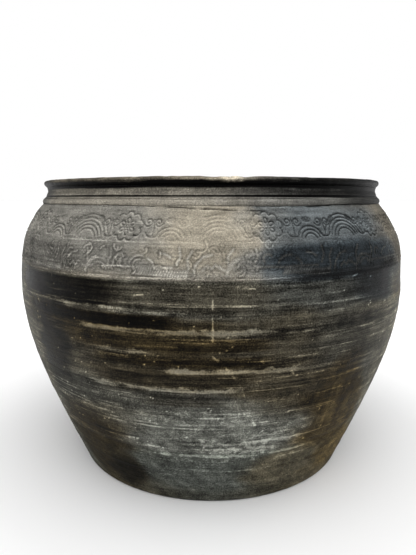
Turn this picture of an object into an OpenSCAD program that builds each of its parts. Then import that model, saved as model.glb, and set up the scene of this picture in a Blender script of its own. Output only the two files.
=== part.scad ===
// Wide-mouthed black clay jar, built up from a clay floor and luted courses of clay.
// The origin is the middle of the resting face, and +Z runs up the turning axis.

/* [Body] */
// Greatest outside diameter, at the belly
belly_d = 500; // [430:1:620]
// Outside diameter of the wall at the resting face
foot_d = 357; // [290:1:440]
// Height of the belly above the resting face
belly_h = 231; // [192:1:300]
// Rise of the shoulder from the belly to the throat
shoulder_h = 103; // [80:1:140]
// How gently the lower wall turns into the belly
belly_ease = 53; // [20:1:120]
// Share of a full quarter turn that the shoulder bends through
shoulder_turn = 0.86; // [0.5:0.01:0.93]
// Thickness of the wall, square to its surface
wall = 10; // [7:0.5:14]

/* [Floor] */
// Thickness of the clay floor
floor_t = 12; // [9:0.5:18]
// Outside height of the seam between the floor and the first course
floor_seam_h = 8; // [6:0.5:12]
// Radius worn on the outside edge of the floor
foot_edge = 5; // [2:0.5:6]

/* [Courses] */
// Outside height of the first course above the floor seam
foot_course_h = 67; // [40:1:90]
// Outside height of the second course
lower_course_h = 80; // [50:1:90]
// Outside height of the third course, which ends below the belly
belly_course_h = 58; // [40:1:90]
// Drop from the throat to the seam under the shoulder course
shoulder_course_h = 70; // [50:1:90]
// Rise of each scarf joint from the outside to the inside of the wall
scarf_rise = 6; // [0:0.5:12]

/* [Neck] */
// Outside diameter at the waist of the neck, just under the lip
neck_d = 429; // [380:1:440]
// Outside height of the neck between the throat and the lip
neck_h = 17; // [14:0.5:26]
// How far the neck spreads from its waist down to the throat
neck_flare = 2; // [0.5:0.25:4]
// Thickness of the neck wall at its waist
neck_wall = 10; // [7:0.5:14]

/* [Lip] */
// Height of the rolled lip
lip_h = 9.5; // [7:0.5:14]
// How far the lip stands out past the waist of the neck
lip_out = 3.5; // [2:0.25:8]
// Radius of the lip's inside edge
lip_inner_edge = 4; // [1:0.25:6]

/* [Cordon] */
// Diameter of the clay roll pressed on over the throat
cordon_d = 10; // [8:0.5:14]
// Height of the middle of the roll above the throat
cordon_rise = 0.5; // [0:0.25:3]
// How far the roll's middle is pressed in behind the throat's surface
cordon_press = 1.5; // [0:0.25:2.5]

/* [Turned lines] */
// Width of each turned line
line_w = 2; // [1:0.25:3]
// Depth of each turned line
line_depth = 1; // [0.5:0.25:1.5]
// Drop from the throat to the line that divides the two bands of pattern
upper_line_drop = 30; // [15:1:45]
// Drop from the throat to the line that closes the lower band
lower_line_drop = 64; // [50:1:68]
// Rise of the neck's own line above the top of the cordon
neck_line_rise = 1.5; // [1.25:0.25:3]

/* [Hidden] */
$fn = 96;
// Step up the wall between two points of its outline
outline_step = 9;
// Shortest step left at the end of an outline, as a share of a whole one
least_step = 0.2;
// Steps in the outline of the neck
neck_steps = 6;
// Turn between two points of a rounded edge, in degrees
edge_turn = 15;

belly_r = belly_d / 2;
foot_r = foot_d / 2;
neck_r = neck_d / 2;
neck_in_r = neck_r - neck_wall;
throat_r = neck_r + neck_flare;
throat_z = belly_h + shoulder_h;
lip_z = throat_z + neck_h;
lip_r = neck_r + lip_out;
foot_seam_z = floor_seam_h;
lower_seam_z = foot_seam_z + foot_course_h;
belly_seam_z = lower_seam_z + lower_course_h;
upper_seam_z = belly_seam_z + belly_course_h;
shoulder_seam_z = throat_z - shoulder_course_h;
cordon_r = throat_r - cordon_press;
cordon_z = throat_z + cordon_rise;

// The lower wall is a hyperbola: nearly straight at the foot, upright at the belly.
lower_span = sqrt(pow(belly_r - foot_r + belly_ease, 2) - pow(belly_ease, 2));
function lower_run(z) = lower_span * (belly_h - z) / belly_h;
function lower_r(z) = belly_r + belly_ease - sqrt(pow(belly_ease, 2) + pow(lower_run(z), 2));
function lower_slope(z) =
    lower_run(z) * lower_span / belly_h / sqrt(pow(belly_ease, 2) + pow(lower_run(z), 2));

// The shoulder is part of a quarter ellipse that starts upright at the belly.
shoulder_reach = (belly_r - throat_r) / (1 - sqrt(1 - pow(shoulder_turn, 2)));
function shoulder_share(z) = shoulder_turn * (z - belly_h) / shoulder_h;
function shoulder_r(z) =
    belly_r - shoulder_reach * (1 - sqrt(1 - pow(shoulder_share(z), 2)));
function shoulder_slope(z) =
    -shoulder_reach * shoulder_share(z) * shoulder_turn / shoulder_h
    / sqrt(1 - pow(shoulder_share(z), 2));

// Outside of the body at a height, its slope there, and the inside point one wall away.
function body_r(z) = z < belly_h ? lower_r(z) : shoulder_r(z);
function body_slope(z) = z < belly_h ? lower_slope(z) : shoulder_slope(z);
function outside(z) = [body_r(z), z];
function wall_share(z) = wall / sqrt(1 + pow(body_slope(z), 2));
function inside(z) = [body_r(z) - wall_share(z), z + body_slope(z) * wall_share(z)];

// Where the inside of the wall meets the floor and where it meets the neck.
floor_inside_z = floor_t - body_slope(floor_t) * wall_share(floor_t);
floor_corner = [inside(floor_inside_z)[0], floor_t];
throat_inside = inside(throat_z);
throat_corner = [neck_in_r,
                 throat_inside[1] + (neck_in_r - throat_inside[0]) / body_slope(throat_z)];

// Heights from one level up to another, in whole steps from the belly between them.
function heights(low, high) =
    let (first = ceil((low - belly_h) / outline_step + least_step),
         last = floor((high - belly_h) / outline_step - least_step))
    concat([low], [for (i = [first : 1 : last]) belly_h + i * outline_step], [high]);

function reversed(list) = [for (i = [len(list) - 1 : -1 : 0]) list[i]];
function outside_wall(low, high) = [for (z = heights(low, high)) outside(z)];
function inside_wall(low, high) = reversed([for (z = heights(low, high)) inside(z)]);

// Points along a rounded edge about a centre.
function round_edge(centre, radius, from, to) =
    let (count = ceil(abs(to - from) / edge_turn))
    [for (i = [0 : count])
        let (turn = from + (to - from) * i / count)
        centre + radius * [cos(turn), sin(turn)]];

// Outside of the neck at a share of its height: a shallow hollow that ends upright.
function neck_outside(share) =
    [neck_r + neck_flare * pow(1 - share, 2), throat_z + neck_h * share];

// Half section of a course between two scarf joints.
module course_section(bottom_z, top_z) {
    polygon(concat(
        outside_wall(bottom_z, top_z),
        inside_wall(bottom_z + scarf_rise, top_z + scarf_rise)));
}

// Pointed groove of one turned line, cut square into the surface at a point.
module line_groove(point, slope) {
    translate(point)
        rotate(-atan(slope))
            polygon([[-line_depth, 0], [line_depth, -line_w], [line_depth, line_w]]);
}

module body_line(drop) {
    line_z = throat_z - drop;
    line_groove(outside(line_z), body_slope(line_z));
}

module shoulder_section() {
    difference() {
        polygon(concat(
            outside_wall(shoulder_seam_z, throat_z),
            [throat_corner],
            inside_wall(shoulder_seam_z + scarf_rise, throat_z)));
        body_line(upper_line_drop);
        body_line(lower_line_drop);
    }
}

module neck_section() {
    neck_line_z = cordon_z + cordon_d / 2 + neck_line_rise;
    difference() {
        polygon(concat(
            [for (i = [0 : neck_steps]) neck_outside(i / neck_steps)],
            [[neck_in_r, lip_z], throat_corner]));
        line_groove(neck_outside((neck_line_z - throat_z) / neck_h), 0);
    }
}

// Floor: a flat disc of clay, bevelled round its rim to carry the first course.
module base_disc() {
    color("#2f2d2a")
        rotate_extrude()
            polygon(concat(
                [[0, 0]],
                round_edge([body_r(foot_edge) - foot_edge, foot_edge], foot_edge, -90, 0),
                [outside(foot_seam_z), floor_corner, [0, floor_t]]));
}

// First course, luted on the rim of the floor.
module foot_course() {
    color("#45433f")
        rotate_extrude()
            polygon(concat(
                outside_wall(foot_seam_z, lower_seam_z),
                inside_wall(floor_inside_z + outline_step, lower_seam_z + scarf_rise),
                [floor_corner]));
}

// Second course, up to where the wall turns towards the belly.
module lower_course() {
    color("#3a3936")
        rotate_extrude()
            course_section(lower_seam_z, belly_seam_z);
}

// Third course, which carries the wall out towards the belly.
module belly_course() {
    color("#2c2a26")
        rotate_extrude()
            course_section(belly_seam_z, upper_seam_z);
}

// Fourth and widest course, over the belly to the seam under the shoulder.
module upper_course() {
    color("#27251f")
        rotate_extrude()
            course_section(upper_seam_z, shoulder_seam_z);
}

// Shoulder, with the turned lines that border its two bands of pattern.
module shoulder_course() {
    color("#5a5751")
        rotate_extrude()
            shoulder_section();
}

// Short neck that stands on the edge of the shoulder.
module neck_ring() {
    color("#4b4a47")
        rotate_extrude()
            neck_section();
}

// Roll of clay pressed into the corner between the shoulder and the neck.
module cordon() {
    color("#6a6863")
        rotate_extrude()
            difference() {
                translate([cordon_r, cordon_z]) circle(d = cordon_d);
                shoulder_section();
                neck_section();
            }
}

// Lip rolled outwards over the top of the neck.
module lip_roll() {
    bead = lip_h / 2;
    underside = -acos(max(0, 1 - lip_out / bead));
    color("#3f3b35")
        rotate_extrude()
            polygon(concat(
                [[neck_in_r, lip_z], [neck_r, lip_z]],
                round_edge([lip_r - bead, lip_z + bead], bead, underside, 90),
                round_edge([neck_in_r + lip_inner_edge, lip_z + lip_h - lip_inner_edge],
                           lip_inner_edge, 90, 180)));
}

base_disc();
foot_course();
lower_course();
belly_course();
upper_course();
shoulder_course();
neck_ring();
cordon();
lip_roll();
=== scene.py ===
import math

import bpy
import numpy as np
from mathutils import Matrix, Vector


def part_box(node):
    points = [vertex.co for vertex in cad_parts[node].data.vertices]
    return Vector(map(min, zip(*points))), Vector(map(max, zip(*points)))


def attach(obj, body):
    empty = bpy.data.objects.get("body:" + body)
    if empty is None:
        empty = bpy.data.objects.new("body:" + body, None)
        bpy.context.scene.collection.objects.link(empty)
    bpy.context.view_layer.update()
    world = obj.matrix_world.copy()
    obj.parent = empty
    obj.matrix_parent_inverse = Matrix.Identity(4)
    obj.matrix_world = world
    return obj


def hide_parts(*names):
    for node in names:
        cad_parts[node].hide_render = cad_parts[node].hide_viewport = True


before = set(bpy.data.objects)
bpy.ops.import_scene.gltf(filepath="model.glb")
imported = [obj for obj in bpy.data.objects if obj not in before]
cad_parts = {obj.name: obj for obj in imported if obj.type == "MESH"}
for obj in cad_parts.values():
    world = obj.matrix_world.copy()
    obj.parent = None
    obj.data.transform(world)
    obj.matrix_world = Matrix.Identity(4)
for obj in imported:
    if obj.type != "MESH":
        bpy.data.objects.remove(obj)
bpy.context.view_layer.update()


# ---- Clay floor -------------------------------------------------------------------------------
# The first piece is a disc of coarse clay beaten flat on a board, with its rim bevelled to carry
# the wall. It fired black like the rest, was never burnished, and its lower edge is worn round.

# Lengths are in millimetres up to the mesh, and in metres from there on. An angle of 0 faces -Y,
# and angles grow towards +X.
MM = 0.001


def corners(node):
    """Lowest and highest corner of a node, in millimetres."""
    low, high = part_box(node)
    return [value / MM for value in low], [value / MM for value in high]


foot_seam = corners("foot_course")[0][2]
lower_seam = corners("lower_course")[0][2]
belly_seam = corners("belly_course")[0][2]
upper_seam = corners("upper_course")[0][2]
shoulder_seam = corners("shoulder_course")[0][2]
throat = corners("shoulder_course")[1][2]
floor_top = corners("base_disc")[1][2]
widest = max(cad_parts["upper_course"].data.vertices, key=lambda v: v.co.x)
belly_radius = widest.co.x / MM
belly_height = widest.co.z / MM
neck_height = corners("neck_ring")[1][2] - throat
# These sizes of the clay don't show in the boxes of its pieces.
neck_spread = 2
neck_wall = 10
foot_radius = 178.5
wall_thickness = 10
scarf_rise = 6
belly_ease = 53
shoulder_turn = 0.86
neck_radius = corners("neck_ring")[1][0] - neck_spread
mouth_radius = neck_radius - neck_wall

# The lower wall is a hyperbola and the shoulder is part of a quarter ellipse.
lower_span = math.sqrt((belly_radius - foot_radius + belly_ease) ** 2 - belly_ease ** 2)
shoulder_reach = ((belly_radius - neck_radius - neck_spread)
                  / (1 - math.sqrt(1 - shoulder_turn ** 2)))


def wall_radius(height):
    """Radius of the outside of the wall at a height."""
    run = lower_span * (belly_height - height) / belly_height
    lower = belly_radius + belly_ease - np.sqrt(belly_ease ** 2 + run ** 2)
    share = shoulder_turn * (height - belly_height) / (throat - belly_height)
    upper = belly_radius - shoulder_reach * (1 - np.sqrt(1 - np.clip(share, 0, 0.9) ** 2))
    return np.where(height < belly_height, lower, upper)


def wall_normal(height):
    """Which way the outside of the wall faces: its share outwards and its share upwards."""
    slope = wall_radius(height + 0.5) - wall_radius(height - 0.5)
    length = np.sqrt(1 + slope ** 2)
    return 1 / length, -slope / length


def inside_of(height):
    """Radius and height of the inside of the wall, straight through from a point outside."""
    out, up = wall_normal(height)
    return wall_radius(height) - wall_thickness * out, height - wall_thickness * up


def ease(value, low, high):
    """0 below low and 1 above high, with a smooth rise between them."""
    share = np.clip((value - low) / (high - low), 0, 1)
    return share * share * (3 - 2 * share)


def between(value, low, full, past, end):
    """1 from full to past, easing to 0 at low and at end."""
    return ease(value, low, full) * (1 - ease(value, past, end))


def hump(off, width):
    """A smooth hump, 1 where off is 0 and almost nothing two widths away."""
    return np.exp(-(off / width) ** 2)


# The noise is drawn on a roll as long as the jar is round at this radius, and this high.
noise_radius = 235
noise_height = 440


def lumps(angle, height, wide, high, seed):
    """Even noise from -1 to 1 round the jar, in cells of a width and a height in millimetres."""
    columns = max(3, round(2 * math.pi * noise_radius / wide))
    rows = math.ceil(noise_height / high) + 3
    values = np.random.default_rng(seed).random((rows, columns)) * 2 - 1
    across = angle / (2 * math.pi) * columns
    up = height / high + 1
    column, row = np.floor(across).astype(int), np.floor(up).astype(int)
    s, t = ease(across - column, 0, 1), ease(up - row, 0, 1)
    left, right = column % columns, (column + 1) % columns
    row = np.clip(row, 0, rows - 2)
    below = values[row, left] * (1 - s) + values[row, right] * s
    above = values[row + 1, left] * (1 - s) + values[row + 1, right] * s
    return below * (1 - t) + above * t


def sway(angle, height):
    """How far the whole wall leans out of round: the jar was built by hand on a slow wheel."""
    grows = np.clip(height / belly_height, 0, 1)
    round_off = 0.5 * np.cos(2 * angle + 0.6) + 0.4 * np.cos(3 * angle + 2.0)
    fuller = 0.4 * between(height, 40, 200, 300, 330)
    shouldered = 1.7 * hump(height - 296, 22)
    leaning = -0.8 * np.sin(angle) * between(height, 200, 280, 305, 330)
    right_bulge = 2.0 * hump(height - 278, 20) * np.clip(np.sin(angle), 0, 1) ** 2
    left_bulge = 1.8 * hump(height - 326, 8) * np.clip(-np.sin(angle), 0, 1) ** 2
    return (round_off * grows + fuller + shouldered + leaning + right_bulge + left_bulge
            + 0.5 * lumps(angle, height, 180, 110, 11))


def grid(angles, radii, heights, normal=(1.0, 0.0), relief=0.0):
    """Points of a band of surface: rows of radius and height, columns of angle."""
    out, up = normal
    radius = radii + relief * out
    height = heights + relief * up
    radius = radius + sway(angles, height) * np.clip(radius / 60, 0, 1)
    return np.stack([radius * np.sin(angles), -radius * np.cos(angles),
                     height + 0 * angles], axis=-1)


def angles_of(columns):
    """One row of even angles round the jar."""
    return (np.arange(columns) * 2 * math.pi / columns)[None]


def strip(lower, upper):
    """Faces between two rows of vertices, where one row may have several times the other's."""
    if len(lower) == len(upper):
        return [np.stack([lower, np.roll(lower, -1), np.roll(upper, -1), upper], axis=1)]
    few, many = (lower, upper) if len(lower) < len(upper) else (upper, lower)
    each = len(many) // len(few)
    start = np.arange(len(few)) * each
    run = [many[(start + k) % len(many)] for k in range(each + 1)]
    if few is upper:
        return [np.stack([*run, np.roll(few, -1), few], axis=1)]
    return [np.stack([few, np.roll(few, -1), *run[::-1]], axis=1)]


skin_layers = ("tone", "hue", "dust", "line")


def make_piece(name, bands, closed):
    """One closed mesh from bands of points that follow each other round the section."""
    places, masks, faces, edges, start = [], [], [], [], 0
    for points, marks in bands:
        rows, columns = points.shape[:2]
        index = start + np.arange(rows * columns).reshape(rows, columns)
        if edges:
            faces += strip(edges[-1], index[0])
        for row in range(rows - 1):
            faces += strip(index[row], index[row + 1])
        edges += [index[0], index[-1]]
        places.append(points.reshape(-1, 3))
        masks.append({key: np.broadcast_to(value, (rows, columns)).ravel()
                      for key, value in marks.items()})
        start += rows * columns
    if closed:
        faces += strip(edges[-1], edges[0])
    else:
        faces += [edges[0][::-1][None], edges[-1][None]]
    mesh = bpy.data.meshes.new(name)
    points = np.concatenate(places) * MM
    mesh.vertices.add(len(points))
    mesh.vertices.foreach_set("co", points.ravel())
    sizes = np.concatenate([np.full(len(face), face.shape[1]) for face in faces])
    loops = np.concatenate([face.ravel() for face in faces])
    mesh.loops.add(len(loops))
    mesh.loops.foreach_set("vertex_index", loops.astype(np.int32))
    mesh.polygons.add(len(sizes))
    starts = np.concatenate([[0], np.cumsum(sizes)[:-1]])
    mesh.polygons.foreach_set("loop_start", starts.astype(np.int32))
    mesh.update(calc_edges=True)
    mesh.validate()
    mesh.shade_smooth()
    border = np.zeros(len(points), np.int32)
    for number, edge in enumerate(edges):
        border[edge] = number + 1
    pairs = np.empty(len(mesh.edges) * 2, np.int32)
    mesh.edges.foreach_get("vertices", pairs)
    ends = border[pairs.reshape(-1, 2)]
    sharp = mesh.attributes.new("sharp_edge", "BOOLEAN", "EDGE")
    sharp.data.foreach_set("value", (ends[:, 0] > 0) & (ends[:, 0] == ends[:, 1]))
    for key in skin_layers:
        values = np.concatenate([mask.get(key, np.zeros(1)) * np.ones(len(place))
                                 for mask, place in zip(masks, places)])
        layer = mesh.attributes.new(key, "FLOAT", "POINT")
        layer.data.foreach_set("value", values.astype(np.float32))
    piece = bpy.data.objects.new(name, mesh)
    bpy.context.scene.collection.objects.link(piece)
    return piece


def linear(hex_colour):
    """An sRGB hex value as linear red, green, blue and alpha."""
    parts = [int(hex_colour[i:i + 2], 16) / 255 for i in (1, 3, 5)]
    return [c / 12.92 if c <= 0.04045 else ((c + 0.055) / 1.055) ** 2.4 for c in parts] + [1]


def add(tree, kind, links=(), stops=(), **settings):
    """Adds one node, sets what it is and wires or fills its sockets."""
    made = tree.nodes.new("ShaderNode" + kind)
    for key, value in settings.items():
        setattr(made, key, value)
    for socket, value in dict(links).items():
        if isinstance(value, bpy.types.NodeSocket):
            tree.links.new(value, made.inputs[socket])
        else:
            made.inputs[socket].default_value = value
    for number, (place, colour) in enumerate(stops):
        elements = made.color_ramp.elements
        stop = elements[number] if number < 2 else elements.new(place)
        stop.position = place
        stop.color = linear(colour)
    return made


def smoked_clay(name, ash, streaks, grain, dull, shine):
    """Low-fired clay smoked black in the kiln. The eye sees a dark skin that goes from blue-black
    through grey to brown where the smoke was thin, fine turned lines, pale dust and a dull sheen."""
    material = bpy.data.materials.new(name)
    material.use_nodes = True
    tree = material.node_tree
    tree.nodes.clear()

    def maths(operation, *values, **settings):
        """Adds one sum and gives what comes out of it."""
        links = dict(enumerate(values))
        return add(tree, "Math", links, operation=operation, **settings).outputs[0]

    def noise(vector, size, detail, roughness):
        """Adds a texture of marks of a size in millimetres and gives what comes out of it."""
        return add(tree, "TexNoise", {"Vector": vector, "Scale": 1 / (size * MM),
                                      "Detail": detail, "Roughness": roughness}).outputs["Fac"]

    place = add(tree, "TexCoord").outputs["Object"]
    # Round the jar the pattern is drawn on a circle 24 mm across, so that marks run about 20
    # times as far round the wall as they rise.
    pattern_radius = 0.012
    flat = add(tree, "VectorMath", {0: place, 1: (1, 1, 0)}, operation="MULTIPLY").outputs[0]
    ring = add(tree, "VectorMath", {0: flat}, operation="NORMALIZE").outputs[0]
    small = add(tree, "VectorMath", {0: ring, "Scale": pattern_radius}, operation="SCALE").outputs[0]
    rise = add(tree, "VectorMath", {0: place, 1: (0, 0, 1)}, operation="MULTIPLY").outputs[0]
    round_place = add(tree, "VectorMath", {0: small, 1: rise}, operation="ADD").outputs[0]
    # Turned lines are about 2 mm apart, in groups of four or five, and the smoke is mottled in
    # clouds of 17 mm. Grit is about 0.5 mm, drawn twice as coarse to show.
    line_gap, group_gap, grit_size, mottle_size = 2, 9, 1.1, 17
    turned = noise(round_place, line_gap, 4, 0.7)
    broad = noise(round_place, group_gap, 3, 0.6)
    grit = noise(place, grit_size, 3, 0.8)
    cloud = noise(place, mottle_size, 6, 0.7)
    tone, hue, dust, line = [add(tree, "Attribute", attribute_name=key).outputs["Fac"]
                             for key in skin_layers]
    # The small marks add up, and count for less where the skin is black and smooth.
    marked = 0
    for texture, amount in ((turned, streaks), (broad, streaks * 0.7), (grit, grain),
                            (cloud, grain * 0.45)):
        centred = maths("SUBTRACT", texture, 0.5)
        marked = maths("MULTIPLY_ADD", centred, amount, marked)
    spread = add(tree, "MapRange", {"Value": tone, "From Min": 0.05, "From Max": 0.45,
                                    "To Min": 0.4, "To Max": 1.15}).outputs["Result"]
    shade = maths("MULTIPLY_ADD", marked, spread, tone)
    # Dust lies where the fine texture is high, so a streak breaks up into specks at its edges.
    held = maths("MULTIPLY_ADD", maths("ADD", grit, turned), 1.1, dust)
    pale = add(tree, "MapRange", {"Value": held, "From Min": 1.3, "From Max": 2.0},
               interpolation_type="SMOOTHSTEP").outputs["Result"]
    dust_lift, line_drop, least_shade = 0.26, -0.2, 0.015
    shade = maths("MULTIPLY_ADD", pale, dust_lift, shade)
    # Soot and shade fill the cut lines. The skin never gets quite black.
    shade = maths("MAXIMUM", maths("MULTIPLY_ADD", line, line_drop, shade), least_shade)
    # Shade is as the eye sees it. The three tints are about 0.7 bright, and the level makes up
    # for that.
    eye_power, tint_lift = 2.2, 1.43
    level = maths("MULTIPLY", maths("POWER", shade, eye_power), tint_lift)
    cold = maths("MULTIPLY", hue, -1, use_clamp=True)
    warm = maths("MULTIPLY", hue, 1, use_clamp=True)
    tint = add(tree, "Mix", {0: warm, 6: linear(ash), 7: linear("#ffdb90")},
               data_type="RGBA").outputs[2]
    tint = add(tree, "Mix", {0: cold, 6: tint, 7: linear("#c6dbe8")},
               data_type="RGBA").outputs[2]
    skin = add(tree, "VectorMath", {0: tint, "Scale": level}, operation="SCALE").outputs[0]
    # A burnished black skin is smoother than the pale dusty one.
    rough = add(tree, "MapRange", {"Value": shade, "From Min": 0.05, "From Max": 0.6,
                                   "To Min": shine, "To Max": dull}).outputs["Result"]
    fine = add(tree, "Bump", {"Height": grit, "Strength": 0.5, "Distance": 0.0005}).outputs[0]
    skin_bump = add(tree, "Bump", {"Height": turned, "Strength": 0.6, "Distance": 0.0006,
                                   "Normal": fine}).outputs[0]
    shader = add(tree, "BsdfPrincipled", {"Base Color": skin, "Roughness": rough,
                                          "Normal": skin_bump, "IOR": 1.45,
                                          "Specular IOR Level": 0.05}).outputs[0]
    add(tree, "OutputMaterial", {"Surface": shader})
    return material


def degrees(angle):
    """An angle round the jar in degrees from -180 to 180, where 0 faces -Y."""
    return (np.degrees(angle) + 180) % 360 - 180


# Broad clouds of smoke and ash that the firing and the years left, and two of painted sheen:
# angle, height, half width in degrees, half height in millimetres, how pale, and how brown (1)
# or blue (-1).
clouds = [
    # The shoulder is beige in the middle, grey at the left and blue-black at the right.
    (-35, 305, 50, 40, 0.45, 0), (0, 305, 15, 40, 0.55, 0.2), (-50, 280, 25, 15, 0.35, 0),
    (30, 315, 20, 25, 0.4, -0.3), (35, 280, 25, 20, 0.2, -0.9), (60, 305, 10, 30, 0.35, 0.2),
    # The belly is black at the left, dark grey in the middle and blue-black at the right.
    (-40, 250, 25, 15, 0.05, 0.4), (0, 250, 20, 15, 0.2, 0.3), (30, 245, 20, 20, 0.2, 0),
    (50, 255, 15, 20, 0.1, -0.6),
    # Under the belly brown-black runs out into dull black at the left and olive at the right.
    (-45, 215, 15, 20, 0.1, 0.5), (-15, 210, 30, 20, 0.15, 0.8), (15, 205, 15, 30, 0.2, 0.4),
    (35, 200, 15, 35, 0.2, 0.2), (-45, 180, 10, 30, 0.1, 0.3), (-5, 175, 25, 20, 0.15, 0.6),
    (20, 150, 20, 25, 0.2, 0.5), (35, 140, 10, 45, 0.15, 0.9), (-40, 145, 15, 20, 0.2, 0.1),
    (-10, 140, 20, 15, 0.25, 0.1),
    # The foot is dusty and grey in the middle, olive black at the left and brown at the right.
    (0, 95, 30, 45, 0.35, 0), (-40, 60, 15, 55, 0.15, 0.7), (40, 80, 15, 50, 0.2, 0.9),
    (0, 45, 25, 30, 0.3, -0.1), (25, 45, 15, 25, 0.3, 0.4), (-30, 35, 10, 25, 0.1, 0.5),
    (50, 35, 15, 30, 0.3, 0.9),
    # Painted sheen: a pale band down both edges of the jar as it is seen from the front.
    (-60, 150, 10, 120, 0.3, 0.2), (60, 160, 10, 130, 0.35, 0.2),
]
turns = np.random.default_rng(7)
for number in range(70):
    # The sides and the back: wide clouds in the same colours, pale on the shoulder.
    cloud_height = turns.uniform(0, 335)
    pale = (0.4 if cloud_height > 265 else 0.22) * turns.uniform(0.3, 1.4)
    clouds.append((turns.uniform(82, 278), cloud_height, turns.uniform(10, 34),
                   turns.uniform(8, 30), pale, turns.uniform(-0.5, 0.9) * (1 - pale)))

# Bands that were burnished hardest, blacker and cleaner than the wall between them: height, from
# and to angle, half height in millimetres, how pale, and how brown.
bands = [
    (250, -60, -20, 12, 0.05, 0.4), (225, -50, -5, 6, 0.05, 0.9), (204, -35, 15, 6, 0.1, 0.9),
    (187, -30, 15, 5, 0.1, 0.9), (167, -30, 10, 7, 0.1, 0.6), (143, -20, 5, 7, 0.15, 0.2),
    (250, 40, 50, 12, 0.1, -0.7), (266, 15, 55, 5, 0.1, -0.7),
]
for number in range(14):
    band_from = turns.uniform(70, 262)
    bands.append((turns.uniform(150, 258), band_from, band_from + turns.uniform(25, 70),
                  turns.uniform(3, 9), turns.uniform(0.06, 0.15), turns.uniform(0.1, 0.8)))

# Pale streaks where dust and wear lie along turned ridges: height, from and to angle,
# half thickness in millimetres, and strength.
streaks = [
    (265, -60, 25, 1, 0.4), (241, -55, -20, 0.5, 0.5), (237, -60, -15, 1, 0.5),
    (234, -40, 0, 2, 0.5), (216, -35, 30, 2.5, 0.8), (212, -20, 15, 1, 0.3),
    (195, -30, -10, 2.5, 0.8), (190, -30, 30, 0.5, 0.4), (177, -15, 25, 2, 0.9),
    (155, -35, 10, 2.5, 0.8), (161, 5, 20, 1.5, 0.3), (127, -5, 40, 1, 0.3),
    (239, 15, 60, 1, 0.3), (232, 10, 50, 0.5, 0.3), (220, 15, 55, 1, 0.3),
    (206, 20, 60, 1, 0.3), (89, 5, 35, 1.5, 0.5), (72, -20, 35, 1, 0.6),
    (64, 15, 35, 1, 0.4), (50, -20, 35, 1, 0.4), (11, -40, -10, 1.5, 0.3),
]
for number in range(60):
    streak_from = turns.uniform(62, 270)
    streaks.append((turns.uniform(20, 262), streak_from, streak_from + turns.uniform(15, 60),
                    turns.uniform(0.6, 3.0), turns.uniform(0.25, 0.7)))

# Patches of dust and lime scale that dried on in blotches: angle, height, half sizes, strength.
blotches = [
    (-20, 120, 20, 20, 0.3), (10, 110, 25, 20, 0.4), (0, 85, 30, 20, 0.4), (20, 85, 20, 20, 0.3),
    (5, 65, 25, 15, 0.4), (-25, 150, 15, 15, 0.3), (10, 165, 15, 20, 0.3),
    (-30, 285, 15, 20, 0.2), (-10, 40, 20, 10, 0.3), (45, 50, 20, 40, 0.2), (-50, 160, 20, 50, 0.2),
]
for number in range(26):
    blotches.append((turns.uniform(70, 290), turns.uniform(30, 250), turns.uniform(12, 34),
                     turns.uniform(10, 28), turns.uniform(0.2, 0.55)))


def patch(where, height, middle, level, half_wide, half_high, inner=0.5, outer=1.3):
    """A soft oval patch on the wall, 1 in its middle and 0 outside."""
    aside = ((where - middle + 180) % 360 - 180) / half_wide
    above = (height - level) / half_high
    return 1 - ease(np.sqrt(aside ** 2 + above ** 2), inner, outer)


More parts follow.
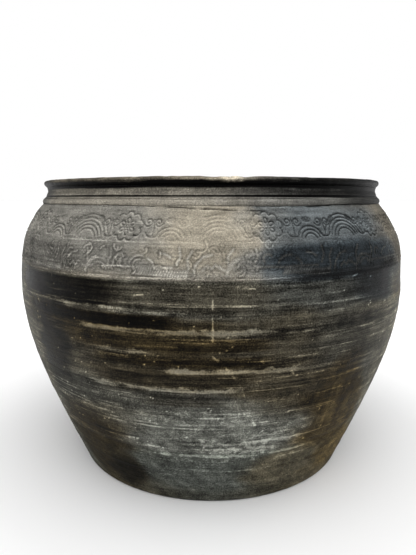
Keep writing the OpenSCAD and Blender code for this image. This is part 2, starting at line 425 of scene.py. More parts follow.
def skin_marks(angle, height):
    """Tone, hue and dust of the wall's outside, before a piece adds its own lines."""
    where = degrees(angle)
    # The shoulder is calmer than the wall: its skin was rolled with the stamp, not rubbed.
    calm = ease(height, 258, 270)
    drift = 4 * lumps(angle, height, 60, 26, 21) + 2.5 * lumps(angle, height, 22, 9, 22)
    lift = 6 * lumps(angle, height, 90, 24, 23) + 3 * lumps(angle, height, 26, 8, 24)
    lift = lift * (1 - 0.75 * between(height, 236, 258, 268, 284))
    tone = 0.26 + 0.14 * calm + 0.05 * lumps(angle, height, 160, 40, 25)
    hue = 0.15 + 0.3 * lumps(angle, height, 130, 50, 26)
    for middle, level, half_wide, half_high, pale, brown in clouds:
        weight = patch(where + drift, height + lift, middle, level, half_wide, half_high)
        tone += (pale - tone) * weight
        hue += (brown - hue) * weight
    # A sharp edge of smoke stands on the shoulder just right of the middle.
    smoked = ease(where + 0.25 * drift, 10, 12) * (1 - ease(where, 48, 58)) * ease(height, 256, 268)
    tone *= 1 - 0.1 * smoked
    hue -= 0.3 * smoked
    bend = 1.6 * lumps(angle, height, 240, 60, 29)
    level_lines = (0.5 * lumps(angle, height + bend, 420, 2.6, 35)
                   + 0.5 * lumps(angle, height + bend, 260, 5.5, 36)
                   + 0.35 * lumps(angle, height + bend, 120, 1.8, 37))
    dusty = 1 - ease(height, 118, 160)
    tone *= (1 + 0.34 * level_lines * (0.6 + 0.4 * lumps(angle, height, 80, 30, 38))
             * (1 - 0.75 * calm) * (1 - 0.65 * dusty))
    # Below, dust was wiped and rain ran down aslant.
    smear = (0.6 * lumps(angle + 0.006 * height, height, 12, 44, 47)
             + 0.5 * lumps(angle + 0.006 * height, height, 5, 22, 48))
    tone *= 1 + 0.2 * smear * dusty
    coarse = (0.5 * lumps(angle, height, 14, 8, 27) + 0.6 * lumps(angle, height, 6, 4, 28)
              + 0.6 * lumps(angle, height, 3, 2.5, 34))
    dust = (0.10 * coarse + 0.18 * np.clip(level_lines, 0, 1)) * (1 - 0.8 * calm)
    for middle, level, half_wide, half_high, strength in blotches:
        weight = patch(where + drift, height + lift, middle, level, half_wide, half_high, 0.2, 1.4)
        dust += 0.8 * strength * weight * (0.7 + 0.6 * coarse)
    # Dust hardly clings where the skin is burnished black.
    dust *= 0.35 + 2.5 * np.clip(tone, 0, 0.26)
    feather = 2.2 * np.abs(lumps(angle, height, 2.4, 14, 30)) + lumps(angle, height, 9, 6, 31)
    patchy = 0.75 + 0.5 * lumps(angle, height, 30, 7, 32) + 0.3 * lumps(angle, height, 9, 3, 39)
    for level, start, end, half_high, pale, brown in bands:
        aside = (where - start) % 360
        along = between(aside, 0, 7, end - start - 7, end - start)
        off = np.abs(height - level + bend) + 0.3 * feather
        weight = 0.9 * along * (1 - ease(off, half_high - 1, half_high + 1.5))
        tone += (pale * (1 + 0.4 * level_lines) - tone) * weight
        hue += (brown - hue) * weight
        dust *= 1 - 0.8 * weight
    for level, start, end, thick, strength in streaks:
        aside = (where - start) % 360
        along = between(aside, 0, 8, end - start - 10, end - start)
        off = height - level + bend
        across = np.where(off > 0, off - feather * min(thick, 2) * 0.6, off)
        ash = strength * along * patchy * hump(across, thick)
        dust += 1.3 * ash
        hue *= 1 - 0.5 * np.clip(ash, 0, 1)
    # Short upright strokes of a wet hand on the brown side of the wall.
    wiped = patch(where, height, 35, 125, 9, 44) * lumps(angle, height, 4.5, 20, 33)
    tone *= 1 + 0.35 * wiped
    return {"tone": tone, "hue": np.clip(hue, -1, 1), "dust": dust}


def turning(angle, height):
    """Relief of the outside: ridges left by the fingers, fine turned lines and small dents."""
    waver = 1.5 * lumps(angle, height, 260, 80, 41)
    ridges = 0.3 * lumps(angle, height + waver, 900, 9, 42)
    lines = 0.10 * lumps(angle, height + waver, 500, 2.4, 43)
    strokes = 0.12 * lumps(angle, height, 70, 7, 44)
    dents = 0.25 * lumps(angle, height, 16, 12, 45) ** 3
    return ridges + lines + strokes + dents


def inside_relief(angle, height):
    """Relief of the inside: deeper finger ridges, never smoothed."""
    waver = 4 * lumps(angle, height, 300, 90, 51)
    return (0.8 * lumps(angle, height + waver, 700, 13, 52)
            + 0.25 * lumps(angle, height, 60, 6, 53))


def inside_marks(angle, height):
    """Tone, hue and dust of the inside, with the tide mark of what was stored in it."""
    tone = 0.2 + 0.08 * lumps(angle, height, 90, 40, 61) + 0.05 * lumps(angle, height, 500, 7, 62)
    stain = between(height, 190, 215, 215, 262)
    return {"tone": tone + 0.1 * stain, "hue": 0.35 + 0.2 * lumps(angle, height, 120, 50, 63),
            "dust": 0.2 + 0.35 * stain}


# Dry clay that was never rubbed: the eye sees open grain, hardly any lines and no shine.
dry_clay = smoked_clay("dry_unburnished_black_clay", "#dbe0d1", streaks=0.22, grain=1.15,
                       dull=0.9, shine=0.6)

disc_columns = 960
few_columns = 240
disc_around = angles_of(disc_columns)
few_around = angles_of(few_columns)
edge_radius = 5
middle_radius = 6
floor_radius = 172
# The underside rises by 0.9 mm towards its middle, and the jar stands on the ring outside that.
hollow_radius = 150
under_radii = np.linspace(middle_radius, wall_radius(edge_radius) - edge_radius - 1, 26)[:, None]
under_hollow = 0.5 + 0.5 * np.cos(np.clip(under_radii / hollow_radius, 0, 1) * math.pi)
under_relief = under_hollow * 0.9 + 0.25 * np.abs(lumps(few_around, under_radii, 20, 12, 71))
edge_turns = np.radians(np.linspace(-90, 0, 7))[:, None]
edge_heights = edge_radius + edge_radius * np.sin(edge_turns)
edge_radii = wall_radius(edge_radius) - edge_radius + edge_radius * np.cos(edge_turns)
chips = 0.7 * np.clip(lumps(disc_around, 0 * disc_around, 9, 9, 72) - 0.35, 0, 1)
rim_heights = np.linspace(edge_radius + 1, foot_seam, 4)[:, None]
floor_radii = np.linspace(floor_radius, middle_radius, 40)[:, None]
floor_spiral = 0.5 * np.sin(floor_radii / 3.2 + few_around) + 0.4 * lumps(
    few_around, floor_radii, 40, 30, 73)
floor_relief = floor_spiral * between(floor_radii, middle_radius, 30, 160, floor_radius)
base_disc = make_piece("base_disc_clay", [
    (grid(few_around, under_radii, under_relief),
     {"tone": 0.32, "hue": 0.3, "dust": 0.3}),
    (grid(disc_around, edge_radii, edge_heights, (1, 0.5), -chips),
     skin_marks(disc_around, edge_heights)),
    (grid(disc_around, wall_radius(rim_heights), rim_heights, (1, 0),
          turning(disc_around, rim_heights)), skin_marks(disc_around, rim_heights)),
    (grid(few_around, floor_radii, floor_top - 0.4 + floor_relief),
     {"tone": 0.26, "hue": 0.35, "dust": 0.3 + 0.3 * lumps(few_around, floor_radii, 60, 40, 74)}),
], closed=False)
base_disc.data.materials.append(dry_clay)
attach(base_disc, "root")
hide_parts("base_disc")


# ---- First course -----------------------------------------------------------------------------
# A ring of clay luted on the bevelled rim of the floor, thinned and drawn up on the wheel. It is
# left as turned, with close lines, a dry skin and a bloom of dust.

around = angles_of(1200)
rows_per_millimetre = 0.93


def build_course(name, bottom, top, relief, marks):
    """A ring of wall between two scarf joints: the outside upwards, then the inside downwards."""
    rows = round((top - bottom) * rows_per_millimetre)
    heights = np.linspace(bottom, top, rows)[:, None]
    # The first course ends inside on the floor, just under its surface.
    inner_bottom = floor_top - 4 if bottom == foot_seam else bottom + scarf_rise
    inner = np.linspace(top + scarf_rise, inner_bottom, rows // 3)[:, None]
    inner_radii, inner_heights = inside_of(inner)
    fade = ease(np.abs(inner - inner[0]), 0, 4) * ease(np.abs(inner - inner[-1]), 0, 4)
    return make_piece(name, [
        (grid(around, wall_radius(heights), heights, wall_normal(heights),
              relief(around, heights)), marks(around, heights)),
        (grid(few_around, inner_radii, inner_heights, (-1, 0),
              inside_relief(few_around, inner_heights) * fade),
         inside_marks(few_around, inner_heights)),
    ], closed=True)


def foot_relief(angle, height):
    """The turned wall with close lines, about 2 mm apart, that nothing rubbed away."""
    close_lines = 0.16 * lumps(angle, height, 700, 1.9, 81)
    return turning(angle, height) + close_lines


foot_course = build_course("foot_course_clay", foot_seam, lower_seam, foot_relief, skin_marks)
foot_course.data.materials.append(dry_clay)
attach(foot_course, "root")
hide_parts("foot_course")


# ---- Second course ----------------------------------------------------------------------------
# The wall goes on up in a second ring, luted on a scarf joint and rubbed over while leather-hard
# with a pebble, so the skin starts to shine in long level strokes.

# Clay that was lightly rubbed: the eye sees some lines and a little shine on the black.
half_burnished_clay = smoked_clay("half_burnished_black_clay", "#dddfd2", streaks=0.3, grain=1.15,
                                  dull=0.86, shine=0.5)


def near_strokes(angles, heights, strokes, reach=4):
    """Distance in millimetres from each point to the nearest stroke, at most reach. A stroke is
    a list of points of angle in degrees and height in millimetres."""
    columns = angles.shape[-1]
    levels = heights[:, 0]
    away = np.full((len(levels), columns), float(reach))
    for stroke in strokes:
        for (angle, height), (next_angle, next_height) in zip(stroke, stroke[1:]):
            middle_height = np.array((height + next_height) / 2)
            scale = math.radians(1) * float(wall_radius(middle_height))
            spare = reach / scale
            first = math.floor((min(angle, next_angle) - spare) / 360 * columns)
            last = math.ceil((max(angle, next_angle) + spare) / 360 * columns)
            row_first = np.searchsorted(levels, min(height, next_height) - reach)
            row_last = np.searchsorted(levels, max(height, next_height) + reach)
            if row_last <= row_first:
                continue
            picked = np.arange(first, last + 1)
            across = (picked * 360 / columns - angle)[None] * scale
            up = levels[row_first:row_last, None] - height
            run, rise = (next_angle - angle) * scale, next_height - height
            share = np.clip((across * run + up * rise) / max(run * run + rise * rise, 1e-9), 0, 1)
            gap = np.hypot(across - share * run, up - share * rise)
            rows = np.arange(row_first, row_last)[:, None]
            at = picked[None] % columns
            away[rows, at] = np.minimum(away[rows, at], gap)
    return away


# Scratches through the black skin to the paler clay, and chips in it.
scratches = [
    [(0, 253), (0, 198)], [(0, 193), (3, 181), (6, 164)], [(7, 158), (8, 138)],
    [(5, 259), (7, 258), (9, 257)], [(-17, 250), (-15, 251)], [(-52, 238), (-49, 236), (-47, 222)],
    [(18, 176), (19, 170)], [(34, 262), (36, 264)], [(10, 120), (11, 112)], [(-8, 128), (-7, 117)],
    [(3, 44), (12, 42), (24, 38)],
]
chip_spots = [(-30, 271), (3, 199), (-13, 186), (-32, 201), (-15, 145), (-32, 22), (20, 168),
              (14, 246), (41, 232), (-44, 228)]
for number in range(420):
    chip_spots.append((turns.uniform(-180, 180), turns.uniform(15, 262)))
for number in range(26):
    scratch_angle, scratch_height = turns.uniform(65, 290), turns.uniform(20, 255)
    scratches.append([(scratch_angle, scratch_height),
                      (scratch_angle + turns.uniform(-3, 3), scratch_height + turns.uniform(-9, 9)),
                      (scratch_angle + turns.uniform(-6, 6), scratch_height + turns.uniform(-16, 16))])
# Long hair-thin lines that the turning tool and the pebble left, some pale and some dark.
pale_hairs, dark_hairs = [], []
for number in range(400):
    hair_from, hair_height = turns.uniform(-180, 180), turns.uniform(16, 262)
    hair_length = turns.uniform(6, 50)
    hair = [(hair_from, hair_height),
            (hair_from + hair_length / 2, hair_height + turns.uniform(-1, 1)),
            (hair_from + hair_length, hair_height + turns.uniform(-2, 2))]
    kind = pale_hairs if number % 5 < 3 else dark_hairs
    kind.append(hair)


def scratched(angle, height):
    """Where the skin is scratched through or chipped, from 0 to 1."""
    thin = hump(near_strokes(angle, height, scratches, 3), 0.8)
    spots = [[(spot_angle, spot_height), (spot_angle + 0.01, spot_height)]
             for spot_angle, spot_height in chip_spots]
    chips = np.exp(-(near_strokes(angle, height, spots, 5) / 0.95) ** 4)
    worn = ease(lumps(angle, height, 6, 5, 91), -0.7, 0.4)
    return np.maximum(thin * worn * 0.9, chips)


def wall_relief(angle, height):
    """The turned wall, with its scratches and chips sunk in."""
    return turning(angle, height) - 0.35 * scratched(angle, height)


def wall_marks(angle, height):
    """The skin with its scratches, chips and hair-thin lines."""
    marks = skin_marks(angle, height)
    bare = scratched(angle, height)
    broken = ease(lumps(angle, height, 24, 9, 92), -0.5, 0.3)
    pale_hair = hump(near_strokes(angle, height, pale_hairs, 3), 0.7) * broken
    dark_hair = hump(near_strokes(angle, height, dark_hairs, 3), 0.8) * broken
    marks["dust"] += 0.9 * bare + 0.5 * pale_hair
    marks["tone"] = marks["tone"] * (1 + 0.3 * pale_hair - 0.4 * dark_hair) + 0.12 * bare
    return marks


lower_course = build_course("lower_course_clay", lower_seam, belly_seam,
                            wall_relief, wall_marks)
lower_course.data.materials.append(half_burnished_clay)
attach(lower_course, "root")
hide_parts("lower_course")


# ---- Third course -----------------------------------------------------------------------------
# The ring that carries the wall out to the belly. Its turned ridges stand proud and have been
# rubbed pale, with black burnished bands between them.

# Clay rubbed hard with a pebble: the eye sees long level lines and a soft shine on the black.
burnished_clay = smoked_clay("pebble_burnished_black_clay", "#dddfd2", streaks=0.6, grain=1.1,
                             dull=0.82, shine=0.36)

belly_course = build_course("belly_course_clay", belly_seam, upper_seam,
                            wall_relief, wall_marks)
belly_course.data.materials.append(burnished_clay)
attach(belly_course, "root")
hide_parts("belly_course")


# ---- Fourth course ----------------------------------------------------------------------------
# The widest ring, over the belly to the seam under the shoulder. It lay deepest in the smoke, so
# it is the blackest and the most burnished.

upper_course = build_course("upper_course_clay", upper_seam, shoulder_seam,
                            wall_relief, wall_marks)
upper_course.data.materials.append(burnished_clay)
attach(upper_course, "root")
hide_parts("upper_course")


# ---- Shoulder course --------------------------------------------------------------------------
# The shoulder is rolled with a carved stamp while soft. The stamp leaves a frieze of rosettes,
# scrolls and fans of arcs over a fainter band of hills, stems and grass, once every 130 mm or so.

# Clay turned and rolled with the stamp: the eye sees an even, dull skin with little grain.
incised_clay = smoked_clay("rolled_and_incised_black_clay", "#e2ded2", streaks=0.25, grain=0.65,
                           dull=0.86, shine=0.5)


def arc(x, y, radius, start, end, stretch=1.0, tilt=0.0):
    """Points of an arc or an oval, in millimetres, from one angle to another."""
    turn = np.radians(np.linspace(start, end, max(4, int(abs(end - start) / 12) + 1)))
    u, v = radius * stretch * np.cos(turn), radius * np.sin(turn)
    lean = math.radians(tilt)
    return list(zip(x + u * math.cos(lean) - v * math.sin(lean),
                    y + u * math.sin(lean) + v * math.cos(lean)))


def scroll(x, y, radius, start, turns_round):
    """Points of a curl that winds inwards."""
    turn = np.linspace(0, 1, 12)
    angle = math.radians(start) + turn * turns_round * 2 * math.pi
    size = radius * (1 - 0.8 * turn)
    return list(zip(x + size * np.cos(angle), y + size * np.sin(angle)))


def oval(x, y, wide, high, tilt=0.0):
    """Points of a closed oval."""
    return arc(x, y, high / 2, 0, 360, wide / high, tilt)


# One length of the stamp: x along the band and y up from the band's lower line, in millimetres.
# First comes a six-petalled rosette in a border of lobes.
frieze = [oval(0, 14, 3, 3)]
for petal in range(6):
    petal_turn = 60 * petal + 30
    petal_x, petal_y = arc(0, 14, 5.5, petal_turn, petal_turn + 1)[0]
    frieze.append(oval(petal_x, petal_y, 5, 3.4, petal_turn))
for lobe in range(9):
    lobe_turn = 40 * lobe + 10
    lobe_x, lobe_y = arc(0, 14, 9.5, lobe_turn, lobe_turn + 1, 1.25)[0]
    frieze.append(arc(lobe_x, lobe_y, 4, lobe_turn - 80, lobe_turn + 80))
# Pairs of scrolls on a stem stand between the rosette, the fans of arcs and the leaves.
for stem_x in (26, 60, 112):
    frieze += [scroll(stem_x - 5, 18, 4.6, 200, 1.3), scroll(stem_x + 5, 18, 4.6, -20, -1.3)]
    frieze += [arc(stem_x, 9, 5, 190, 350, 1.3), [(stem_x, 4), (stem_x + 0.6, 12), (stem_x, 20)]]
for fan_x, fan_radii in ((43, (6, 9.4, 12.8)), (86, (10, 13.4, 16.8, 20.2, 23.6))):
    frieze += [arc(fan_x, 1, radius, 15, 165, 1.1) for radius in fan_radii]
for leaf_x, leaf_lean in ((43, 0), (73, 35), (99, -35)):
    frieze += [oval(leaf_x, 20, 9, 4, leaf_lean), oval(leaf_x, 20, 5, 1.2, leaf_lean)]

# Small curls fill the ground between the stems and the hills.
curls = []
for number in range(420):
    curl_angle, curl_height = turns.uniform(-180, 180), turns.uniform(269, 297)
    curl_start = turns.uniform(0, 360)
    curl = arc(0, 0, turns.uniform(1.5, 6), curl_start, curl_start + turns.uniform(50, 190))
    curls.append([(curl_angle + x / 4, curl_height + y) for x, y in curl])

# The stamp's lower band, in the same millimetres: grass, a ground line, hills and bent stems.
field = [[(x, 3 + 1.2 * math.sin(x / 9)), (x + 2.2, 8 + 1.2 * math.sin(x / 9))]
         for x in np.arange(6, 50, 2.3)]
field += [[(-26, 10), (-10, 10.6), (6, 10), (22, 10.8), (40, 10.2)]]
field += [arc(-30, 4, radius, 20, 150) for radius in (9, 13)]
field += [arc(12, 12, 9, 80, 165, 1.2), arc(14, 11, 8, 10, 60, 1.2), arc(30, 12, 11, 40, 95)]
field += [[(-44, 3), (-42, 12), (-43, 20), (-38, 27)], [(-42, 12), (-37, 17), (-33, 18)]]
field += [[(-20, 14), (-17, 20), (-18, 27)], [(44, 13), (47, 20), (46, 28)], arc(-8, 18, 4, 30, 220)]
field += [[(52, 2), (54, 10), (53, 18), (57, 25)], [(58, 4), (60, 13), (66, 20), (74, 22)]]
field += [[(66, 8), (70, 12), (73, 9), (77, 13), (80, 10)], arc(86, 14, 6, 200, 340)]

stamps = 11
stamped_radius = 228
upper_line = throat - 34.5
lower_line = throat - 67
frieze_floor = throat - 35
field_floor = throat - 68


def rolled(pattern, floor_level, first_angle):
    """Repeats the stamp's strokes round the shoulder as angles and heights."""
    per_degree = math.radians(1) * stamped_radius
    return [[(first_angle + stamp * 360 / stamps + x / per_degree, floor_level + y)
             for x, y in stroke] for stamp in range(stamps) for stroke in pattern]


def line_round(level, amount, seed, step=3):
    """A line turned right round the shoulder, a little unsteady."""
    return [[(a, level + amount * float(lumps(np.radians(a), np.array(50.0), 110, 20, seed)))
             for a in range(0, 360 + step, step)]]


# Cracks where the cordon's lower edge was smeared on to the shoulder and has opened again.
crack_drops = [
    [(-60, 1.4), (-48, 1), (-38, 0.6), (-28, 1.2)],
    [(-23, 1.2), (-15, 2.6), (-8, 3.4), (-1, 5.4)],
    [(-2, 4.4), (5, 6.4), (13, 7)],
    [(11, 3), (20, 2), (27, 3.4), (34, 2)],
]
cracks = [[(angle, throat - drop) for angle, drop in crack] for crack in crack_drops]
for number in range(9):
    crack_angle = 70 + 24 * number + turns.uniform(-4, 4)
    cracks.append([(crack_angle + step * 7, throat - turns.uniform(1, 4)) for step in range(3)])


shoulder_around = angles_of(1800)
shoulder_heights = np.linspace(shoulder_seam, throat, 84)[:, None]
shoulder = (shoulder_around, shoulder_heights)
shoulder_where = degrees(shoulder_around)
frieze_gap = near_strokes(*shoulder, rolled(frieze, frieze_floor, 12.5))
# The lower edge of each line, just over a millimetre below its middle, is painted pale as a
# highlight of light from above.
frieze_lower_edge_highlight = near_strokes(*shoulder, rolled(frieze, frieze_floor - 1.3, 12.4))
scene_gap = near_strokes(*shoulder, rolled(field, field_floor, 14))
curl_gap = near_strokes(*shoulder, curls)
borders = line_round(upper_line, 0.5, 103) + line_round(lower_line, 1.6, 104)
border_gap = near_strokes(*shoulder, borders)
crack_gap = near_strokes(*shoulder, cracks)
crack_gap = crack_gap + 0.7 * np.clip(lumps(*shoulder, 7, 20, 107) + 0.4, 0, 2)
worn_away = patch(shoulder_where, shoulder_heights, -1, 312, 10, 40)
pressed = np.clip(0.85 + 0.3 * lumps(*shoulder, 70, 40, 101)
                  + 0.25 * lumps(*shoulder, 14, 14, 102)
                  - 0.6 * worn_away, 0.2, 1.1)
rubbed = np.clip(0.75 + 0.4 * lumps(*shoulder, 40, 20, 105)
                 + 0.3 * lumps(*shoulder, 8, 6, 106), 0.2, 1)
shoulder_chips = scratched(*shoulder)
# Each line is cut in, and the clay that it moved stands up as a burr on both sides.
shoulder_relief = (0.6 * turning(*shoulder)
                   - 0.7 * pressed * hump(frieze_gap, 0.8) + 0.45 * pressed * hump(frieze_gap - 1.8, 0.7)
                   - 0.35 * hump(scene_gap, 0.9) + 0.45 * rubbed * hump(scene_gap - 1.8, 0.9)
                   - 0.3 * hump(curl_gap, 0.8) + 0.2 * hump(curl_gap - 1.7, 0.7)
                   - 0.5 * hump(border_gap, 0.8) + 0.4 * hump(border_gap - 1.9, 0.8)
                   - 1.3 * hump(crack_gap, 0.7) + 0.3 * hump(crack_gap - 2, 0.9)
                   - 0.4 * shoulder_chips)
shoulder_marks = skin_marks(*shoulder)
# The stamp's lines and the cracks are darkened with painted shade and soot. On the blackened
# side the lines hold more soot, and elsewhere they are worn.
sooted = between(shoulder_where, 6, 20, 42, 58)
shoulder_marks["line"] = np.clip((1.05 + 0.35 * sooted) * pressed * hump(frieze_gap, 0.75)
                                 + 1.8 * hump(crack_gap, 0.6), 0, 2)
# Here the painted highlight along the lower edge of each frieze line lightens the skin.
shoulder_marks["tone"] *= (
    1 + 0.38 * pressed * hump(frieze_lower_edge_highlight, 0.7) + 0.2 * rubbed * hump(scene_gap, 0.8)
    + 0.34 * rubbed * hump(curl_gap, 0.7) - 0.22 * hump(curl_gap - 1.6, 0.7)
    - 0.16 * hump(scene_gap - 2, 0.8))
shoulder_marks["hue"] *= 1 - 0.8 * hump(scene_gap, 1.1)
shoulder_marks["dust"] += (0.5 * rubbed * hump(scene_gap, 0.7)
                           + 0.4 * rubbed * hump(border_gap - 1, 0.8)
                           + 0.4 * rubbed * hump(crack_gap - 2, 0.8) + 0.9 * shoulder_chips)
shoulder_inner = np.linspace(throat, shoulder_seam + scarf_rise, 26)[:, None]
shoulder_in_radii, shoulder_in_heights = inside_of(shoulder_inner)
throat_corner = corners("neck_ring")[0][2]
shoulder_course = make_piece("shoulder_course_clay", [
    (grid(shoulder_around, wall_radius(shoulder_heights), shoulder_heights,
          wall_normal(shoulder_heights), shoulder_relief), shoulder_marks),
    (grid(few_around, np.array([[mouth_radius]]), np.array([[throat_corner]])),
     inside_marks(few_around, np.array([[throat_corner]]))),
    (grid(few_around, shoulder_in_radii, shoulder_in_heights, (-1, 0),
          inside_relief(few_around, shoulder_in_heights)
          * ease(np.abs(shoulder_inner - shoulder_inner[-1]), 0, 4)),
     inside_marks(few_around, shoulder_in_heights)),
], closed=True)
shoulder_course.data.materials.append(incised_clay)
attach(shoulder_course, "root")
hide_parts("shoulder_course")


# ---- Neck ring --------------------------------------------------------------------------------
# A short upright ring luted on the edge of the shoulder. It is turned hollow with one sharp line
# just above the cordon. The shadow under the lip is painted on its top as near black, together
# with soot and dirt, and painted shade and soot darken its grooves.

neck_levels = np.linspace(0, 1, 26)[:, None]
neck_heights = throat + neck_height * neck_levels
neck = (around, neck_heights)
waist_level = 0.75
neck_waist = neck_radius - 0.7
neck_spreads = np.clip(1 - neck_levels / waist_level, 0, 1) ** 1.4
neck_rises = np.clip(neck_levels - waist_level, 0, 1) ** 1.5
neck_curve, most_out = 7, 3.2
neck_radii = neck_waist + np.minimum(neck_curve * (neck_spreads + neck_rises), most_out)
lip_root = float(neck_radii[-1, 0])
neck_line = throat + 7
second_line = throat + 5.6
line_waver = 0.35 * lumps(*neck, 120, 30, 111)
neck_groove = hump(neck_heights - neck_line + line_waver, 0.5)
neck_second = hump(neck_heights - second_line + line_waver, 0.6)
neck_second = neck_second * ease(lumps(*neck, 160, 60, 112), -0.4, 0.5)
neck_relief = 0.4 * turning(*neck) - neck_groove - 0.5 * neck_second


def stretch(angle, middle, half_wide, inner=0.5, outer=1.3):
    """A soft stretch of the rim, 1 in its middle and 0 outside."""
    return patch(degrees(angle), 0, middle, 0, half_wide, 1, inner, outer)


def rim_marks(angle, height):
    """Marks of the neck, cordon and lip: grey and handled on one side, sooted on the other."""
    where = degrees(angle)
    patchy = 0.5 * lumps(angle, height, 30, 12, 113) + 0.4 * lumps(angle, height, 9, 4, 115)
    handled = 1 - ease(where + 6 * patchy, -4, 26) * (1 - ease(where, 78, 100))
    handled = handled * (1 - 0.5 * stretch(angle, -70, 14))
    black = between(where, 36, 52, 90, 120)
    return {"tone": (0.14 + 0.27 * handled + 0.05 * patchy) * (1 - 0.5 * black),
            "hue": -0.12 + 0.24 * handled, "dust": (0.1 + 0.3 * patchy) * (1 - 0.8 * black)}


neck_marks = rim_marks(*neck)
# The painted shadow of the lip, with soot, darkens the top 3 mm of the neck, and painted shade
# darkens its grooves. The edge above its groove is rubbed pale.
lip_shadow_and_soot = ease(neck_heights + lumps(*neck, 60, 9, 114), throat + 13.5, throat + 16)
rubbed_edge = hump(neck_heights - neck_line - 1.3, 0.6)
neck_marks["tone"] = (neck_marks["tone"] * 0.93 * (1 - 0.85 * lip_shadow_and_soot) - 0.25 * neck_groove
                      - 0.12 * neck_second + 0.08 * rubbed_edge)
neck_marks["dust"] *= 1 - lip_shadow_and_soot
neck_marks["line"] = neck_groove * 1.2 + lip_shadow_and_soot * 0.7
neck_in_heights = np.linspace(throat + neck_height, throat_corner, 8)[:, None]
neck_ring = make_piece("neck_ring_clay", [
    (grid(around, neck_radii, neck_heights, (1, 0), neck_relief), neck_marks),
    (grid(few_around, mouth_radius + 0 * neck_in_heights, neck_in_heights, (-1, 0),
          0.4 * inside_relief(few_around, neck_in_heights)),
     inside_marks(few_around, neck_in_heights)),
], closed=True)
neck_ring.data.materials.append(incised_clay)
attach(neck_ring, "root")
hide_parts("neck_ring")


# ---- Cordon -----------------------------------------------------------------------------------
# A roll of clay as thick as a finger, pressed into the corner of the shoulder and the neck. Its
# top is turned smooth and its lower edge is only smeared down, so it overhangs a ragged seam.

cordon_radius = 5
cordon_middle = corners("cordon")[1][0] - cordon_radius
cordon_level = corners("cordon")[1][2] - cordon_radius
cordon_turns = np.radians(np.linspace(-52, 84, 18))[:, None]
cordon_out, cordon_up = np.cos(cordon_turns), np.sin(cordon_turns)
cordon_heights = cordon_level + cordon_radius * cordon_up
roll = (around, cordon_heights)
level_ring = (around, 0 * around)
ragged = (np.abs(lumps(*level_ring, 26, 30, 121))
          + 0.6 * np.abs(lumps(*level_ring, 7, 30, 122)))
underside = 1 - ease(cordon_turns, math.radians(-50), math.radians(-18))
underside = underside * (1 - 0.85 * stretch(around, 4, 22, 0.9, 1.4))
cordon_relief = (0.35 * turning(*roll)
                 + 0.35 * lumps(*roll, 40, 30, 123)
                 - 0.9 * ragged * underside)
cordon_line = hump(np.degrees(cordon_turns) - 48, 7) * ease(
    lumps(*roll, 200, 60, 124), -0.3, 0.3)
cordon_marks = rim_marks(*roll)
open_gap = stretch(around, 48, 15)
# Painted shade: the roll is a little lighter where it faces up and much darker on its underside, most
# where the seam's gap opens, and its turned line is darker as well.
cordon_marks["tone"] += (0.09 + 0.04 * np.sin(cordon_turns) - 0.4 * underside
                         - 0.16 * cordon_line + 0.12 * stretch(around, 26, 15))
cordon_marks["line"] = (1 + 0.8 * open_gap) * underside + 0.6 * cordon_line
cordon_back = np.array([[throat]])
cordon = make_piece("cordon_clay", [
    (grid(around, cordon_middle + cordon_radius * cordon_out, cordon_heights,
          (cordon_out, cordon_up), cordon_relief - 0.5 * cordon_line), cordon_marks),
    (grid(few_around, wall_radius(cordon_back) + 0.1, cordon_back), {"tone": 0.1}),
], closed=True)
cordon.data.materials.append(incised_clay)
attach(cordon, "root")
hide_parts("cordon")


# ---- Rolled lip -------------------------------------------------------------------------------
# The top of the neck is rolled outwards into a lip. Hands have rubbed its edge brown, it sags a
# little at the front and back, and a lump of clay was once knocked off it and left a rough scar.

# Clay polished by hands: the eye sees a browner skin with fine grain and some shine.
handled_clay = smoked_clay("handled_brown_black_clay", "#e2ded2", streaks=0.2, grain=1.0,
                           dull=0.8, shine=0.45)

lip_low, lip_high = corners("lip_roll")
inner_edge = 4
lip_top = lip_high[2]
lip_base = lip_low[2]
scar_angle, scar_half_wide = 4.6, 2.9

# Half section of the lip's outside: how far out of its root and up from its seam, in millimetres.
lip_shape = [(0, 0), (1.0, 0.9), (2.0, 2.0), (2.8, 3.3), (3.2, 4.8), (3.2, 6.2), (2.7, 7.6),
             (1.8, 8.7), (0.5, 9.3), (-1.0, 9.5)]
lip_steps = np.linspace(0, 1, 26)[:, None]
shape_steps = np.linspace(0, 1, len(lip_shape))
lip_out = np.interp(lip_steps, shape_steps, [point[0] for point in lip_shape])
lip_up = np.interp(lip_steps, shape_steps, [point[1] for point in lip_shape])
bead_radii = lip_root + lip_out
bead_heights = lip_base + lip_up
bead = (around, bead_heights)
facing = math.pi * (lip_steps * 0.75 - 0.25)


def scar_weight(angle, shape=1.0):
    """1 in the scar and 0 beside it, in a stretch that shape makes wider."""
    return np.exp(-(np.abs(degrees(angle) - scar_angle) / (scar_half_wide * shape)) ** 4)


def lip_sag(angle, height):
    """The lip has sagged a little all round, and more at the scar."""
    lifted = ease(height, lip_base, lip_top)
    level = (-1.3 + 0.3 * lumps(angle, 0 * height, 120, 30, 131)
             + 0.2 * lumps(angle, 0 * height, 30, 30, 132))
    return lifted * (level - 0.9 * scar_weight(angle, 1.9))


scar = scar_weight(around) * ease(lip_steps, 0.15, 0.35)
lip_rough = (0.5 * lumps(*bead, 5, 3, 133)
             + 0.35 * lumps(*bead, 2.6, 2, 134))
lip_relief = (0.3 * turning(*bead) * ease(lip_steps, 0, 0.2)
              + 0.2 * lumps(*bead, 60, 9, 135)
              + 0.2 * lumps(*bead, 7, 5, 138) + scar * (0.8 + 1.4 * lip_rough))
lip_marks = rim_marks(*bead)
top_rub = ease(lip_steps + 0.06 * lumps(*bead, 9, 9, 139), 0.46, 0.7)
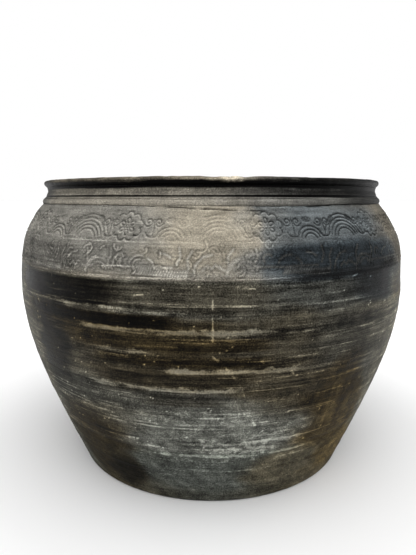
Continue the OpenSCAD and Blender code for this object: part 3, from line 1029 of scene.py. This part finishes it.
# The underside of the lip is painted near black as its shadow, together with soot, and holds no dust.
lip_underside_shadow_and_soot = 1 - ease(lip_steps + 0.1 * lumps(*bead, 30, 9, 136)
                    + 0.05 * lumps(*bead, 6, 9, 140), 0.28, 0.5)
lip_marks["tone"] = (lip_marks["tone"] * (0.4 + 0.45 * top_rub) * (1 - 0.85 * lip_underside_shadow_and_soot)
                     + scar * (0.24 + 0.3 * lip_rough))
lip_marks["tone"] += top_rub * (0.14 * stretch(around, 5, 14) - 0.07 * stretch(around, -43, 12))
lip_marks["hue"] += 0.15
lip_marks["dust"] = lip_marks["dust"] * (1 - lip_underside_shadow_and_soot) + 0.1 * top_rub + 0.25 * scar
lip_marks["line"] = 0.9 * lip_underside_shadow_and_soot * (1 - scar)
edge_turns_in = np.radians(np.linspace(90, 180, 9))[:, None]
rim_in_radii = mouth_radius + inner_edge + inner_edge * np.cos(edge_turns_in)
rim_in_heights = lip_top - inner_edge + inner_edge * np.sin(edge_turns_in)
drop_heights = np.linspace(lip_top - inner_edge - 1, lip_base, 4)[:, None]
lip_roll = make_piece("lip_roll_clay", [
    (grid(around, bead_radii, bead_heights + lip_sag(around, bead_heights),
          (np.cos(facing), np.sin(facing)), lip_relief), lip_marks),
    (grid(around, rim_in_radii, rim_in_heights + lip_sag(around, rim_in_heights),
          (0, 1), 0.2 * lumps(around, rim_in_radii, 20, 9, 137)),
     rim_marks(around, rim_in_heights)),
    (grid(few_around, mouth_radius + 0 * drop_heights,
          drop_heights + lip_sag(few_around, drop_heights)), inside_marks(few_around, drop_heights)),
], closed=True)
lip_roll.data.materials.append(handled_clay)
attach(lip_roll, "root")
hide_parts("lip_roll")


# ---- Studio -----------------------------------------------------------------------------------
# A pale floor that is painted to glow away from the jar, one wide soft light overhead and two
# soft walls of light beside and behind the jar, which draw its edges. The room itself is dim,
# so that black clay stays black.

floor_material = bpy.data.materials.new("pale_matt_studio_floor")
floor_material.use_nodes = True
paper = floor_material.node_tree
paper.nodes.clear()
mottle = add(paper, "TexNoise", {"Vector": add(paper, "TexCoord").outputs["Object"],
                                 "Scale": 3, "Detail": 2}).outputs["Fac"]
white = add(paper, "ValToRGB", {"Fac": mottle}, stops=((0, "#f1f1f1"), (1, "#f5f5f5")))
spot = add(paper, "TexCoord").outputs["Object"]
reach = add(paper, "VectorMath", {0: spot}, operation="LENGTH").outputs["Value"]
# Away from the jar the paper glows with painted light, which takes the horizon away.
through = add(paper, "MapRange", {"Value": reach, "From Min": 0.3, "From Max": 0.75,
                                  "To Min": 0, "To Max": 0.25}).outputs["Result"]
paper_shader = add(paper, "BsdfPrincipled", {"Base Color": white.outputs["Color"],
                                             "Roughness": 0.9, "Specular IOR Level": 0.1,
                                             "Emission Color": (1, 1, 1, 1),
                                             "Emission Strength": through})
add(paper, "OutputMaterial", {"Surface": paper_shader.outputs[0]})
floor_mesh = bpy.data.meshes.new("studio_floor")
floor_half = 30
floor_mesh.from_pydata([(-floor_half, -floor_half, 0), (floor_half, -floor_half, 0),
                        (floor_half, floor_half, 0), (-floor_half, floor_half, 0)],
                       [], [(0, 1, 2, 3)])
studio_floor = bpy.data.objects.new("studio_floor", floor_mesh)
bpy.context.scene.collection.objects.link(studio_floor)
studio_floor.data.materials.append(floor_material)

# The room is seen as white and lights the jar as mid grey.
world = bpy.data.worlds.new("dim_white_studio")
bpy.context.scene.world = world
world.use_nodes = True
sky = world.node_tree
sky.nodes.clear()
seen = add(sky, "LightPath").outputs["Is Camera Ray"]
glow = add(sky, "Mix", {0: seen, 6: linear("#8f8f8f"), 7: (1, 1, 1, 1)}, data_type="RGBA")
room = add(sky, "Background", {"Color": glow.outputs[2], "Strength": 1.0})
add(sky, "OutputWorld", {"Surface": room.outputs[0]})

overhead = bpy.data.lights.new("wide_overhead", "SUN")
overhead.energy = 2.9
overhead.angle = math.radians(80)
overhead_lamp = bpy.data.objects.new("wide_overhead", overhead)
overhead_lamp.rotation_euler = (math.radians(24), math.radians(3), 0)
bpy.context.scene.collection.objects.link(overhead_lamp)

for side in (-1, 1):
    wall_light = bpy.data.lights.new("side_wall_light", "AREA")
    wall_light.shape = "RECTANGLE"
    wall_light.size = 1.2
    wall_light.size_y = 0.9
    wall_light.energy = 4
    lamp = bpy.data.objects.new("side_wall_light", wall_light)
    lamp.location = (side * 1.5, 0.9, 0.55)
    lamp.rotation_euler = (math.radians(90), 0, side * math.radians(120))
    bpy.context.scene.collection.objects.link(lamp)

bpy.context.scene.view_settings.view_transform = "Standard"

# The camera stands a little above the lip and looks slightly down at the front of the jar.
look_down = 9.35
camera_data = bpy.data.cameras.new("camera")
camera_data.sensor_width = 36
camera_data.lens = 31.8
camera = bpy.data.objects.new("camera", camera_data)
camera.location = (-0.0043, -0.685, 0.340)
camera.rotation_euler = (math.radians(90 - look_down), 0, 0)
bpy.context.scene.collection.objects.link(camera)
bpy.context.scene.camera = camera
